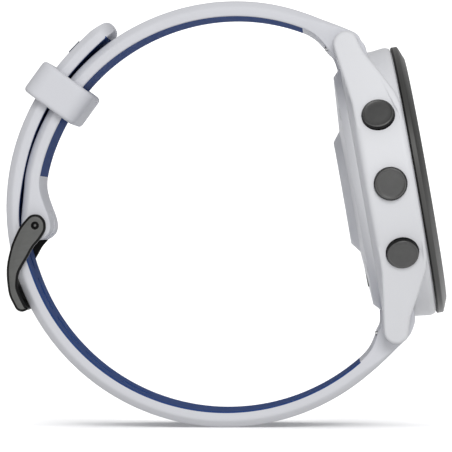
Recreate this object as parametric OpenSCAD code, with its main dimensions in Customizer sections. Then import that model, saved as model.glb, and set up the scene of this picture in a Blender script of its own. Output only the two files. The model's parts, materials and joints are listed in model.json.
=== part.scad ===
// GPS running watch, buckled into a closed loop, in millimetres.
// Origin: centre of the wrist opening. +X points out through the display side,
// +Y runs along the forearm towards the 3 o'clock side, +Z is up, towards 12 o'clock.
// The head is drawn upright (x to 3 o'clock, y to 12 o'clock, z out of the display,
// zero at the seam under the bezel) and is then leaned back into its place on the loop.

/* [Head] */
// Outer radius of the round case band
case_r = 23.2; // [23:0.1:23.4]
// Depth of the case behind the bezel seam
band_depth = 9.15; // [9:0.05:9.2]
// Radius of the cavity that holds the electronics
cavity_r = 20; // [19.9:0.1:20.1]
// Height of the bezel in front of the seam
bezel_h = 2.1; // [2:0.1:2.4]
// Radius of the front glass
lens_r = 19; // [18.6:0.1:19]
// Depth of the back flat behind the seam
back_depth = 12.3; // [12.2:0.1:12.5]
// Radius of the optical window in the back
window_r = 7.7; // [7.4:0.1:7.7]
// Angle at which the head leans back, in degrees
lean = 10; // [10:1:10]

/* [Buttons] */
// Radius of a button cap
cap_r = 2.7; // [2.5:0.05:2.8]
// How far a cap stands out of the case band
cap_proud = 0.9; // [0.8:0.1:1.1]
// Travel of a button
travel = 0.7; // [0.5:0.1:0.7]
// Depth of the button axes behind the seam
button_z = -4.25; // [-4.4:0.05:-4.1]
// Angle between neighbouring buttons, in degrees
button_pitch = 30; // [28:1:32]

/* [Strap] */
// Width of the strap
strap_w = 22; // [21.8:0.1:22]
// Thickness of the strap
strap_t = 2.6; // [2.5:0.05:2.65]
// Thickness of the coloured lining on the inner face
lining_t = 0.3; // [0.2:0.05:0.5]
// Inner radius of the upper strap's bend
upper_r = 33.15; // [33.1:0.05:33.2]
// Inner radius of the lower strap's bend
lower_r = 34.6; // [34.55:0.05:34.65]
// Angle between the holes of the lower strap, in degrees
hole_pitch = 12.6; // [12:0.1:13]
// Radius of the strap's knuckle round the buckle bar
knuckle_r = 2.55; // [2.4:0.05:2.55]

/* [Buckle] */
// Radius of the buckle bar
bar_r = 0.8; // [0.7:0.05:0.8]
// Radius of the bar's tips, which sit in the side plates
bar_tip_r = 0.5; // [0.4:0.05:0.6]
// Thickness of each side plate
plate_t = 1.2; // [1:0.1:1.4]
// Gap between a side plate and the strap's edge
plate_gap = 0.7; // [0.5:0.1:0.9]
// Width of the tongue
tongue_w = 2; // [1.8:0.1:2.1]
// Height of the keeper loop across the two straps
keeper_h = 10.5; // [10.2:0.1:10.6]
// Length of the keeper loop along the strap
keeper_l = 6.2; // [5.8:0.1:6.4]

/* [Hidden] */
$fn = 96;
fine = 0.02; // gap between pieces that are bonded or pressed together
fit = 0.05; // radial running clearance
over = 1; // how far a cutter runs past the face that it cuts

// Head placement on the loop
head_x = 31.7;
head_z = 5.9;
// Depths behind the seam
ceiling = -1.2; // underside of the shelf over the cavity
band_back = -8.2; // rear edge of the upright band
seam = 0.18; // open seam between the band and the bezel
seam_r = case_r - 0.7;
rebate = -8; // face that the rear cover seats on
cover_r = 21.05;
opening_r = 18.5;
// Button stations, as angles from 3 o'clock
light_at = 180 - button_pitch;
up_at = 180;
down_at = 180 + button_pitch;
start_at = button_pitch;
back_at = -button_pitch;
button_angles = [light_at, up_at, down_at, start_at, back_at];
recess_floor = 21.6;
cap_gap = 0.12; // open gap round a cap
stem_r = 0.8;
stem_end = 18.9;
cap_back = recess_floor + travel + 0.1;
cap_face = case_r + cap_proud;
cap_floor = 23.3; // roof of the hollow that takes the spring
clip_face = 19.85;
clip_t = 0.4;
switch_face = stem_end - travel - 0.1;
flex_r = 17.45;
// Screws of the rear cover
screw_at = [45, 135, 225, 315];
screw_ring = 18.5;
screw_seat = -9.7;
screw_head_r = 0.95;
boss_r = 2;
boss_top = -4.2;
groove_r = 20.8;
groove_w = 0.5;
// Lug bars, in the head's own frame
lug_gap = strap_w / 2 + 0.2; // half the space between the lug arms
lug_y = 24.5;
lug_z = -7.4;
lug_bar_r = 0.75;
lug_out = 14; // outer side of a lug arm at its tip
lug_from = 22.6; // angle at which an arm's outer side leaves the round band
pin_r = 0.45;
pin_bore = pin_r + fit;
pin_end = 12.5; // reach of a tip into its lug arm
lever_x = -8; // place of the release lever
release = 1.6; // travel of the release pin
// Strap bends in the X-Z plane
upper_c = [1.2, 0.5];
upper_from = 69.5;
upper_turn = 5; // angle of each short flat that the bend is made of
upper_flats = 21;
upper_lined = 20; // flats that carry the lining
lower_c = [-0.15, 1.3];
lower_from = -49;
lower_turn = -3; // angle of each short flat of the lower strap
lower_flats = 63;
lower_lined = 62; // flats that carry the lining
lower_to = lower_from + lower_turn * lower_flats;
bar_at = [-32.3, -1.8]; // centre of the buckle bar
bulge = 0.45; // how far the lower strap's inner face steps out round the knuckle
hole_w = tongue_w + 0.6;
hole_l = 6.2;
hole_from = -167.4; // the hole that the tongue is in
holes_before = 4;
holes_after = 4;
tip_at = lower_to - 0.2; // angle of the strap's free end
flare_from = -214; // past here the free end stands away from the upper half
flare = 0.75;
tip_round = 22; // radius of the tip's end, seen from outside
marker_w = 19.4;
marker_from = -224.6;
marker_to = -228.5;
marker_proud = 0.2;
marker_sunk = 0.4;
// Keeper place on the loop
keeper_at = 144;
keeper_r = 35.05;
hollow_from = 31.6;
hollow_to = 38.5;
// Buckle plates
plate_in = strap_w / 2 + plate_gap;
plate_out = plate_in + plate_t;

// ---- shared shapes ------------------------------------------------------------------

// Moves a shape from the head's own frame to its place on the loop.
module on_head() {
    translate([head_x, 0, head_z]) rotate([0, -lean, 0]) rotate([90, 0, 90]) children();
}

// Lays a 2D shape, drawn as [x, z], in the X-Z plane and gives it width w along Y.
module across(w) {
    rotate([90, 0, 0]) linear_extrude(w, center = true) children();
}

// A round bar along the head's z axis between two heights.
module disc(r, z0, z1) {
    translate([0, 0, z0]) cylinder(r = r, h = z1 - z0);
}

module ring(r_out, r_in, z0, z1) {
    difference() {
        disc(r_out, z0, z1);
        disc(r_in, z0 - over, z1 + over);
    }
}

// A block centred on [x, y] between two heights.
module block(size, at, z0, z1) {
    translate([at[0] - size[0] / 2, at[1] - size[1] / 2, z0]) cube([size[0], size[1], z1 - z0]);
}

// Turns a shape drawn along +z from the case axis to the station of a button.
module at_station(angle) {
    rotate([0, 0, angle]) translate([0, 0, button_z]) rotate([0, 90, 0]) children();
}

function dir(a) = [cos(a), sin(a)];
function arc(c, r, from, to, n) = [for (i = [0:n]) c + r * dir(from + (to - from) * i / n)];
function back(list) = [for (i = [len(list) - 1:-1:0]) list[i]];
// A point of the head's side view, [z, y], in the X-Z plane of the loop.
function placed(p) = [head_x + p[0] * cos(lean) - p[1] * sin(lean),
    head_z + p[0] * sin(lean) + p[1] * cos(lean)];

// A round wire wound along +z.
module coil(r, wire, length, turns) {
    steps = 14;
    sides = 6;
    n = turns * steps;
    rise = length - 2 * wire;
    points = [for (i = [0:n], k = [0:sides - 1]) let (
        a = 360 * i / steps,
        b = 360 * k / sides,
        reach = r + wire * cos(b))
        [reach * cos(a), reach * sin(a), wire + rise * i / n + wire * sin(b)]];
    walls = [for (i = [0:n - 1], k = [0:sides - 1]) let (
        a = i * sides + k,
        b = i * sides + (k + 1) % sides)
        [a, a + sides, b + sides, b]];
    start = [for (k = [0:sides - 1]) k];
    end = [for (k = [sides - 1:-1:0]) n * sides + k];
    polyhedron(points, concat(walls, [start], [end]), convexity = 4);
}

// ---- case and covers ----------------------------------------------------------------

module lug_side() {
    polygon([[8, -seam], [13, -seam], [15.1, -0.8], [18.9, -2.7], [23.5, -5.2],
        [24.5, lug_z], [24.5, -9.4], [21.6, -9.25], [18.3, -8.8], [14.4, -8.3], [8, -8.3]]);
    translate([lug_y, lug_z]) circle(r = 2.2);
}

module lug_plan() {
    polygon([[lug_gap, 8], [lug_gap, 27], [lug_out, 27], case_r * dir(lug_from), [20, 8]]);
}

module lug() {
    difference() {
        intersection() {
            translate([0, 0, -10]) linear_extrude(11) lug_plan();
            rotate([90, 0, 90]) linear_extrude(20) lug_side();
        }
        translate([lug_gap - over, lug_y, lug_z]) rotate([0, 90, 0])
            cylinder(r = pin_bore, h = pin_end - lug_gap + over + 0.3);
    }
}

module case_profile() {
    rotate_extrude() polygon([[0, 0], [seam_r, 0], [seam_r, -seam], [case_r - 0.25, -seam],
        [case_r, -0.75], [case_r, band_back], [cover_r, -band_depth], [0, -band_depth]]);
}

module case() {
    color("whitesmoke") on_head() difference() {
        union() {
            difference() {
                union() {
                    case_profile();
                    for (sx = [0, 1], sy = [0, 1]) mirror([sx, 0, 0]) mirror([0, sy, 0]) lug();
                }
                disc(cavity_r, rebate - over, ceiling);
                disc(opening_r, ceiling - over, over);
                disc(cover_r, -band_depth - over, rebate);
                ring(groove_r, groove_r - groove_w, rebate - over, rebate + 0.3);
            }
            for (a = screw_at) rotate([0, 0, a]) translate([screw_ring, 0, 0]) disc(boss_r, rebate, boss_top);
        }
        for (a = screw_at) rotate([0, 0, a]) translate([screw_ring, 0, 0]) disc(0.6, rebate - over, -4.8);
        for (a = button_angles) at_station(a) {
            disc(cap_r + cap_gap, recess_floor, case_r + 2 * over);
            disc(stem_r + fit, cavity_r - over, recess_floor + over);
            disc(1.5, cavity_r - over, 20.9);
        }
    }
}

module bezel() {
    color("dimgray") on_head() rotate_extrude() polygon([[17.8, fine], [23.05, fine], [23.05, 1.15],
        [20.8, bezel_h], [lens_r + 0.1, bezel_h], [lens_r + 0.1, 0.75], [17.8, 0.75]]);
}

module lens() {
    top = bezel_h - 0.1;
    color("black") on_head() rotate_extrude() polygon([[0, 0.95], [lens_r, 0.95],
        [lens_r, top - 0.25], [lens_r - 0.25, top], [0, top]]);
}

module lens_gasket() {
    color("darkslategray") on_head() ring(18.9, 17.9, 0.75 + fine, 0.95 - fine);
}

module rear_cover() {
    inside = -9.4; // floor of the cover's hollow
    bump_r = 10.5;
    bump_face = 8.8;
    color("gainsboro") on_head() difference() {
        rotate_extrude() polygon([[0, rebate - fine], [cover_r - fit, rebate - fine],
            [cover_r - fit, -9.2], [19.7, -10.4], [bump_r, -11], [bump_face, -back_depth],
            [0, -back_depth]]);
        disc(17.4, inside, rebate + over);
        disc(window_r - 0.7, -11.5, inside + over);
        disc(window_r + fine, -back_depth - over, -11.5);
        for (a = screw_at) rotate([0, 0, a]) translate([screw_ring, 0, 0]) {
            disc(0.7, -12, rebate + over);
            disc(screw_head_r + 0.15, -12, screw_seat);
        }
        block([8.04, 4.04], [0, -14.5], -12, rebate + over);
    }
}

module rear_gasket() {
    color("black") on_head() difference() {
        ring(groove_r - fine, groove_r - groove_w + fine, rebate, rebate + 0.28);
        for (a = screw_at) rotate([0, 0, a]) translate([screw_ring, 0, 0])
            disc(boss_r + fine, rebate - over, rebate + 0.3);
    }
}

module rear_screws() {
    color("silver") on_head() for (a = screw_at) rotate([0, 0, a]) translate([screw_ring, 0, 0])
        difference() {
            union() {
                disc(screw_head_r, -10.35, screw_seat - fine);
                disc(0.55, screw_seat - over / 2, -5.2);
            }
            translate([0, 0, -10.36]) cylinder(r = 0.5, h = 0.45, $fn = 6);
        }
}

// ---- display and electronics ---------------------------------------------------------

module display_panel() {
    color("black") on_head() disc(17.4, -0.5, 0.9);
}

module display_flex() {
    // A ribbon folded from the panel's underside to the board's connector.
    color("orange") on_head() translate([-5, 0, 0]) rotate([90, 0, 90]) linear_extrude(10)
        polygon([[-9, -0.52], [-15.4, -0.52], [-15.7, -0.8], [-15.7, -1.4], [-15.4, -1.7],
            [-9, -1.7], [-9, -1.56], [-15.3, -1.56], [-15.5, -1.36], [-15.5, -0.86],
            [-15.3, -0.66], [-9, -0.66]]);
}

module inner_frame() {
    color("slategray") on_head() difference() {
        union() {
            ring(17.4, 16.5, -7.6, ceiling - 0.5);
            intersection() {
                ring(17, 11, -4.2, -4);
                block([40, 6], [0, 0], -4.2, -4);
            }
            for (a = [60, 120, 240, 300]) rotate([0, 0, a]) block([1.6, 3], [16.2, 0], -3.9, -2.75);
        }
        block([12, 5], [0, -16], -2.6, 0);
        for (a = screw_at) rotate([0, 0, a]) translate([screw_ring, 0, 0])
            disc(boss_r + 0.2, -9, boss_top + 0.15);
    }
}

module main_board() {
    color("darkgreen") on_head() difference() {
        disc(16.4, -2.7, -1.9);
        block([3, 4], [16, 0], -3, -1);
        block([3, 4], [-16, 0], -3, -1);
        block([2, 8], [0, 16.2], -3, -1);
    }
}

module shield_cans() {
    color("silver") on_head() {
        block([11, 9], [-6.5, 4], -3.9, -2.72);
        block([9, 12], [6, 3], -3.7, -2.72);
        block([12, 5], [0, -7], -3.6, -2.72);
    }
}

module gps_antenna() {
    color("goldenrod") on_head() difference() {
        ring(19.8, 18.7, -1.85, ceiling - fine);
        block([2, 4], [19, 0], -3, 0);
    }
}

module battery() {
    color("lightsteelblue") on_head() difference() {
        block([22, 18], [0, 3], -7.8, -4.4);
        for (sx = [0, 1], sy = [-6, 12]) mirror([sx, 0, 0])
            translate([11, sy, -8]) rotate([0, 0, 45]) cube([1.2, 1.2, 10], center = true);
    }
}

module vibration_motor() {
    color("silver") on_head() translate([-5, -11, 0]) {
        disc(4, -7, -4.5);
        disc(1.2, -7.3, -4.5);
    }
}

module beeper() {
    color("darkgray") on_head() translate([5.5, -11, 0]) {
        disc(3.5, -5.8, -4.5);
        disc(2.4, -6.1, -4.5);
    }
}

module barometer() {
    color("lightgray") on_head() difference() {
        block([3, 3], [13.2, 3], -5.6, -4.4);
        translate([13.2, 3, 0]) disc(0.5, -6, -5.1);
    }
}

module sensor_board() {
    color("darkgreen") on_head() disc(window_r - 0.9, -10.9, -10.2);
}

module sensor_leds() {
    spots = [[0, 0], [2.6, 0], [-2.6, 0], [0, 2.6], [0, -2.6], [4.3, 4.3], [-4.3, -4.3]];
    color("limegreen") on_head() for (p = spots) block([1.4, 1.4], p, -11.4, -10.92);
}

module sensor_window() {
    color("black") on_head() disc(window_r, -back_depth, -11.5 - fine);
}

module charge_port() {
    color("dimgray") on_head() difference() {
        block([8, 4], [0, -14.5], -10.75, -8.7);
        block([6.8, 2.8], [0, -14.5], -12, -9.3);
        for (i = [-1.5:1.5]) translate([1.6 * i, -14.5, 0]) disc(0.42, -12, -8);
    }
}

module charge_contacts() {
    color("gold") on_head() for (i = [-1.5:1.5]) translate([1.6 * i, -14.5, 0]) disc(0.4, -10.1, -8.3);
}

// ---- buttons ---------------------------------------------------------------------------

module button(angle) {
    neck_r = 0.55;
    color("dimgray") on_head() at_station(angle) difference() {
        union() {
            rotate_extrude() polygon([[0, cap_back], [cap_r, cap_back], [cap_r, cap_face - 0.3],
                [cap_r - 0.3, cap_face], [0, cap_face]]);
            disc(stem_r, stem_end, cap_face - 0.4);
        }
        ring(2.2, stem_r, cap_back - over, cap_floor);
        ring(stem_r + over, neck_r, clip_face - clip_t - fine, clip_face + fine);
    }
}

module button_clip(angle) {
    color("silver") on_head() at_station(angle) difference() {
        ring(1.5, 0.57, clip_face - clip_t, clip_face);
        translate([0.9, 0, clip_face]) cube([1.8, 0.8, 2], center = true);
    }
}

module button_spring(angle) {
    color("silver") on_head() at_station(angle) translate([0, 0, recess_floor + fine])
        coil(1.5, 0.15, cap_floor - recess_floor - 2 * fine, 3);
}

module light_button() { button(light_at); }
module up_button() { button(up_at); }
module down_button() { button(down_at); }
module start_button() { button(start_at); }
module back_button() { button(back_at); }
module light_clip() { button_clip(light_at); }
module up_clip() { button_clip(up_at); }
module down_clip() { button_clip(down_at); }
module start_clip() { button_clip(start_at); }
module back_clip() { button_clip(back_at); }
module light_spring() { button_spring(light_at); }
module up_spring() { button_spring(up_at); }
module down_spring() { button_spring(down_at); }
module start_spring() { button_spring(start_at); }
module back_spring() { button_spring(back_at); }

module button_seals() {
    color("black") on_head() for (a = button_angles) at_station(a) translate([0, 0, 20.45])
        rotate_extrude() translate([1.17, 0]) circle(r = 0.3, $fn = 24);
}

module button_switches() {
    color("gold") on_head() for (a = button_angles) at_station(a) {
        translate([-1.3, -1.3, flex_r + 0.2]) cube([2.6, 2.6, 0.3]);
        disc(0.8, flex_r + 0.4, switch_face);
    }
}

module side_flex(middle) {
    half = button_pitch + 8;
    color("orange") on_head() intersection() {
        ring(flex_r + 0.17, flex_r, button_z - 1.6, button_z + 1.6);
        translate([0, 0, button_z - 2]) linear_extrude(4)
            polygon(concat([[0, 0]], arc([0, 0], 24, middle - half, middle + half, 6)));
    }
}

module left_flex() { side_flex(180); }
module right_flex() { side_flex(0); }

// ---- strap ------------------------------------------------------------------------------

// Outer and inner edges of a strap's lug end, as [z, y] of the head's side view.
lug_outer = [[-3.9, 19.5], [-3.9, 23], [-4.8, 25], [-5.7, 26], [-7.7, 27.4], [-10.9, 29.6]];
lug_inner = [[-9.2, 19.5], [-9.7, 22.9], [-10.5, 24.2], [-11.2, 25.5], [-12, 26.7], [-13, 27.7]];

function lug_edge(list, up) = [for (p = list) placed([p[0], up * p[1]])];
// Inner radius of the lower strap, stepped out where it passes over the knuckle.
// How far the lower strap stands off its arc near its free end.
function flared(a) = flare * pow(max(0, flare_from - a) / (flare_from - tip_at), 1.5);
function lower_in(a) = lower_r + bulge * exp(-pow((a + 176) / 9, 2)) + flared(a);
function lower_edge(d, flats) = [for (i = [0:flats]) let (a = lower_from + lower_turn * i)
    lower_c + (lower_in(a) + d) * dir(a)];
function upper_edge(d, flats) = arc(upper_c, upper_r + d, upper_from, upper_from + upper_turn * flats, flats);
// A point of the lower strap, n out from its inner face.
function lower_point(a, n) = lower_c + (lower_r + flared(a) + n) * dir(a);

// Removes the case, the bar's bore and the slot for the release lever from a lug end.
module lug_end_cuts(up) {
    on_head() {
        disc(case_r + 0.1, -12, 2);
        translate([-strap_w, up * lug_y, lug_z]) rotate([0, 90, 0])
            cylinder(r = lug_bar_r + fit, h = 2 * strap_w);
        block([release + 1.4, 1.4], [lever_x + release / 2, up * lug_y], -13, lug_z);
    }
}

module upper_outline() {
    polygon(concat(lug_edge(lug_outer, 1),
        upper_edge(strap_t, upper_flats),
        [[-34.65, 0.6], bar_at + [-knuckle_r + 0.01, 0], bar_at, bar_at + [knuckle_r - 0.05, 0.4],
            [-30.5, 0.6], [-31.3, 2.4]],
        back(upper_edge(0, upper_flats)),
        back(lug_edge(lug_inner, 1))));
}

module upper_lining_area(inner, outer) {
    polygon(concat(upper_edge(inner, upper_lined), back(upper_edge(outer, upper_lined))));
}

module upper_strap() {
    color("whitesmoke") difference() {
        union() {
            across(strap_w) upper_outline();
            across(strap_w) translate(bar_at) circle(r = knuckle_r);
        }
        across(2 * strap_w) upper_lining_area(-0.1, lining_t);
        across(3 * strap_w) translate(bar_at) circle(r = bar_r + fit);
        translate([bar_at[0] - 5, -tongue_w / 2 - 0.3, bar_at[1] - 5]) cube([10, tongue_w + 0.6, 7.5]);
        lug_end_cuts(1);
    }
}

module upper_lining() {
    color("royalblue") across(strap_w - 2 * fine) upper_lining_area(0, lining_t - fine);
}

module lower_outline() {
    polygon(concat(lug_edge(lug_outer, -1),
        [for (i = [0:2:lower_flats - 2]) lower_point(lower_from + lower_turn * i, strap_t)],
        [lower_point(lower_to + 1, strap_t - 0.45), lower_point(lower_to, strap_t - 0.9),
            lower_point(tip_at, 0.8), lower_point(tip_at, 0.3)],
        back(lower_edge(0, lower_flats)),
        back(lug_edge(lug_inner, -1))));
}

module lower_lining_area(inner, outer) {
    polygon(concat(lower_edge(inner, lower_lined), back(lower_edge(outer, lower_lined))));
}

module strap_holes() {
    for (k = [-holes_before:holes_after]) let (a = hole_from - hole_pitch * k)
        translate([lower_c[0], 0, lower_c[1]]) rotate([0, -a, 0])
            translate([lower_r, 0, 0]) rotate([0, 90, 0]) {
                for (s = [-1, 1]) translate([s * (hole_l - hole_w) / 2, 0, -2])
                    cylinder(r = hole_w / 2, h = 7);
                translate([-(hole_l - hole_w) / 2, -hole_w / 2, -2])
                    cube([hole_l - hole_w, hole_w, 7]);
            }
}

// What is trimmed off the tip to give it its rounded end.
module tip_trim() {
    base = lower_point(tip_at, 0) - tip_round * dir(tip_at - 90);
    translate([base[0], 0, base[1]]) rotate([0, -tip_at, 0]) rotate([0, 90, 0]) difference() {
        translate([tip_round - 4, -strap_w, -4]) cube([5, 2 * strap_w, 9]);
        translate([0, 0, -5]) cylinder(r = tip_round, h = 11);
    }
}

module lower_strap() {
    color("whitesmoke") difference() {
        across(strap_w) lower_outline();
        across(2 * strap_w) lower_lining_area(-0.1, lining_t);
        strap_holes();
        tip_trim();
        across(marker_w + 2 * fine) marker_area(fine);
        lug_end_cuts(-1);
    }
}

module lower_lining() {
    color("royalblue") difference() {
        across(strap_w - 2 * fine) lower_lining_area(0, lining_t - fine);
        strap_holes();
        tip_trim();
    }
}

module marker_area(gap) {
    floor = strap_t - marker_sunk - gap;
    top = strap_t + marker_proud;
    slack = gap / lower_r * 180 / PI;
    polygon([lower_point(marker_from + slack, floor), lower_point(marker_to - slack, floor),
        lower_point(marker_to - slack, top), lower_point(marker_from + slack, top)]);
}

module strap_marker() {
    color("darkslategray") across(marker_w) marker_area(0);
}

// ---- lug bars ---------------------------------------------------------------------------

module at_lug_bar(up) {
    on_head() translate([0, up * lug_y, lug_z]) rotate([0, 90, 0]) children();
}

module lug_bar(up) {
    half = strap_w / 2 - 0.3;
    color("silver") difference() {
        at_lug_bar(up) difference() {
            union() {
                disc(lug_bar_r, -half, half);
                disc(pin_r, half - over, pin_end);
            }
            disc(pin_bore, -half - over, -2.9);
        }
        on_head() block([release + 1, 0.9], [lever_x + release / 2, up * lug_y], -9, lug_z);
    }
}

module release_pin(up) {
    color("silver") {
        at_lug_bar(up) disc(pin_r, -pin_end, -6.2);
        on_head() translate([lever_x, up * lug_y, 0]) disc(0.4, lug_z - 3.6, lug_z);
    }
}

module bar_spring(up) {
    color("silver") at_lug_bar(up) translate([0, 0, -6.18]) coil(0.33, 0.1, 3.2, 4);
}

module upper_lug_bar() { lug_bar(1); }
module lower_lug_bar() { lug_bar(-1); }
module upper_release_pin() { release_pin(1); }
module lower_release_pin() { release_pin(-1); }
module upper_bar_spring() { bar_spring(1); }
module lower_bar_spring() { bar_spring(-1); }

// ---- buckle -----------------------------------------------------------------------------

module buckle_bar() {
    color("dimgray") {
        across(2 * plate_in - 0.1) translate(bar_at) circle(r = bar_r);
        across(2 * plate_out - 0.2) translate(bar_at) circle(r = bar_tip_r);
    }
}

// Side view of a buckle plate: a round eye that sweeps out to the hooked end.
module plate_outline() {
    polygon([[-30.5, -1.9], [-30.7, -2.9], [-31.6, -4.3], [-32.6, -5.5], [-33.5, -7.1],
        [-34.4, -8.6], [-35, -9.8], [-35.2, -11], [-35.2, -12.4], [-34.6, -13.9], [-33.9, -15.3],
        [-33.4, -15.8], [-33.9, -16.2], [-34.6, -16.4], [-35.4, -16], [-36, -15], [-36.65, -13.6],
        [-36.95, -11.9], [-37.1, -9.9], [-37, -8.2], [-36.7, -6.7], [-36.3, -5.2],
        [-35.7, -3.7], [-34.95, -2.2], [-34, -1]]);
    translate(bar_at) circle(r = 1.9);
}

// Side view of the bar that joins the plates outside the strap.
module hook_outline() {
    intersection() {
        plate_outline();
        translate([-40, -18]) square([12, 5.6]);
    }
}

module buckle_frame() {
    notch = tongue_w + 0.4;
    color("dimgray") difference() {
        union() {
            for (s = [-1, 1]) translate([0, s * (plate_in + plate_t / 2), 0])
                across(plate_t) plate_outline();
            across(2 * plate_out) hook_outline();
        }
        across(3 * strap_w) translate(bar_at) circle(r = bar_tip_r + fit);
        translate([-38, -notch / 2, -14.2]) cube([2.35, notch, 3]);
    }
}

module buckle_tongue() {
    color("dimgray") across(tongue_w) difference() {
        union() {
            polygon([[-33.5, -2.4], [-34.3, -4.5], [-35.5, -6.7], [-36.3, -8.5], [-36.75, -10.5],
                [-36.85, -12.6], [-36.6, -13.9], [-36.2, -14.1], [-35.75, -13.6], [-35.75, -12.4],
                [-35.7, -10.7], [-35.95, -9.5], [-35.5, -8.66], [-34.5, -6.6], [-33.3, -4.4],
                [-32, -3], bar_at]);
            translate(bar_at) circle(r = 1.6);
        }
        translate(bar_at) circle(r = bar_r + fit);
    }
}

module rounded(size, r) {
    x = size[0] / 2 - r;
    y = size[1] / 2 - r;
    square([size[0], 2 * y], center = true);
    square([2 * x, size[1]], center = true);
    for (sx = [-x, x], sy = [-y, y]) translate([sx, sy]) circle(r = r, $fn = 32);
}

module keeper_loop() {
    middle = (hollow_from + hollow_to) / 2;
    color("whitesmoke") rotate([0, -keeper_at, 0]) difference() {
        translate([keeper_r, 0, 0]) across(strap_w + 4) rounded([keeper_h, keeper_l], 1.2);
        translate([middle, 0, 0]) cube([hollow_to - hollow_from, strap_w + 0.7, 2 * keeper_l], center = true);
    }
}

// ---- assembly ---------------------------------------------------------------------------

case();
bezel();
lens();
lens_gasket();
display_panel();
display_flex();
inner_frame();
main_board();
shield_cans();
gps_antenna();
battery();
vibration_motor();
beeper();
barometer();
rear_cover();
rear_gasket();
rear_screws();
sensor_board();
sensor_leds();
sensor_window();
charge_port();
charge_contacts();
button_seals();
button_switches();
left_flex();
right_flex();
light_button();
up_button();
down_button();
start_button();
back_button();
light_spring();
up_spring();
down_spring();
start_spring();
back_spring();
light_clip();
up_clip();
down_clip();
start_clip();
back_clip();
upper_strap();
upper_lining();
lower_strap();
lower_lining();
upper_lug_bar();
lower_lug_bar();
upper_release_pin();
lower_release_pin();
upper_bar_spring();
lower_bar_spring();
buckle_bar();
buckle_frame();
buckle_tongue();
keeper_loop();
strap_marker();
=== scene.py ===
import json
import math

import bpy
import bmesh
from mathutils import Matrix, Vector


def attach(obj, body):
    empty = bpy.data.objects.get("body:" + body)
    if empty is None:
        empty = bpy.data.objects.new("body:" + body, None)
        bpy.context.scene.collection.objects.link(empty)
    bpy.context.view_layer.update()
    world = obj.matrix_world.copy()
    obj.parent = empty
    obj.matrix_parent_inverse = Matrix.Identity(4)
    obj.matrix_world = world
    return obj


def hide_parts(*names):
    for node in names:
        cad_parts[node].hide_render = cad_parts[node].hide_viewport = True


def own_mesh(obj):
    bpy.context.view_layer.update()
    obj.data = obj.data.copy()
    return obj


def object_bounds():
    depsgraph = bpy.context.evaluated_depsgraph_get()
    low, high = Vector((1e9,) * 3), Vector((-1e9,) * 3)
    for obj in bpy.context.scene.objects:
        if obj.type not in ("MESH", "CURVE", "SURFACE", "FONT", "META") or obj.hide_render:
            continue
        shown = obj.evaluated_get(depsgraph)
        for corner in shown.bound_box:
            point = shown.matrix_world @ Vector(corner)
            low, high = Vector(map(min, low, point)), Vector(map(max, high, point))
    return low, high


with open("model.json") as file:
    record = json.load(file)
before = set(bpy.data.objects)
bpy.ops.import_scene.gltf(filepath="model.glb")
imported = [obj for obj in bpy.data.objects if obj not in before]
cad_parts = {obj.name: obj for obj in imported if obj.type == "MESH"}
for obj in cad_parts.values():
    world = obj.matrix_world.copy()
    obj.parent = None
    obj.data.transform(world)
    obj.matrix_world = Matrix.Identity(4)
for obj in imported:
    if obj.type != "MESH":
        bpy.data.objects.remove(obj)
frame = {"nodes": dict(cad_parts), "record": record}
cad_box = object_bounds()
MM = 0.001

# ---- places and sizes, in millimetres and degrees of the loop or the head --------------------

HEAD_X, HEAD_Z, LEAN = 31.7, 5.9, math.radians(10)
STRAP_W, STRAP_T, LINING_T, LINING_RIM = 22, 2.6, 0.2, 0.3
LINING_EDGE, LINING_GAP = 0.08, 0.01  # rounding of a lining's rim, and its clearance in its pocket
EDGE_CUT, LUG_END_CUT, LOWER_END_CUT = 1.1, 0.25, 0.2  # bevel of the strap's outer edges
INNER_RIM = 0.25  # rounding of the strap's inner edges
RIB_PITCH, RIB_DEPTH = 2.2, 0.16
UPPER_C, UPPER_R, UPPER_FROM, UPPER_TURN = Vector((1.2, 0.5)), 33.15, 69.5, 5
UPPER_LINED = 20  # steps of UPPER_TURN that the upper lining covers
LOWER_C, LOWER_R, LOWER_FROM, LOWER_TURN = Vector((-0.15, 1.3)), 34.6, -49, -3
LOWER_TO, LOWER_LINED_TO = -238, -235
BULGE, BULGE_AT, BULGE_WIDE = 0.45, -176, 9  # where the lower half passes over the knuckle
HOLE_FROM, HOLE_PITCH, HOLE_W, HOLE_L = -167.4, 12.6, 2.6, 6.2
TIP_AT, TIP_FULLNESS, TIP_SOFT, TIP_ARC = -238, 2.8, 1.1, 5.4
FLARE_FROM, FLARE, FLARE_CURVE = -214, 0.75, 2.4
MARKER_FROM, MARKER_TO, MARKER_W, MARKER_PROUD = -224.6, -228.5, 19.4, 0.16
MARKER_DEEP, MARKER_FLOOR = 0.4, 0.42  # underside of the plate and floor of its pocket
BAR_AT = Vector((-32.3, -1.8))
BAR_R, BAR_TIP_R, BAR_DOT_R, FIT = 0.8, 0.5, 0.2, 0.05
PLATE_IN, PLATE_OUT, EDGE_R, TONGUE_W = 11.7, 12.9, 0.4, 2
KEEPER_AT, KEEPER_FROM, KEEPER_TO, KEEPER_L, KEEPER_W = 144, 29.8, 40.3, 6.2, 26
HOLLOW_FROM, HOLLOW_TO, HOLLOW_W = 31.6, 38.5, 22.7
LUG_OUTER = [(-3.9, 19.5), (-3.9, 23), (-4.8, 25), (-5.7, 26), (-7.7, 27.4), (-10.9, 29.6)]
LUG_OUTER_UP = [(-4.1, 19.5), (-4.2, 23.4), (-4.75, 24.7), (-5.3, 26), (-7.4, 27.5), (-10.9, 29.6)]
LUG_INNER = [(-9.2, 19.5), (-9.7, 22.9), (-10.5, 24.2), (-11.2, 25.5), (-12, 26.7), (-13, 27.7)]
CASE_R, COVER_R, CAVITY_R, OPENING_R = 23.2, 21.05, 20.3, 18.5
LUG_Y, LUG_Z = 24.5, -7.4
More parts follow.
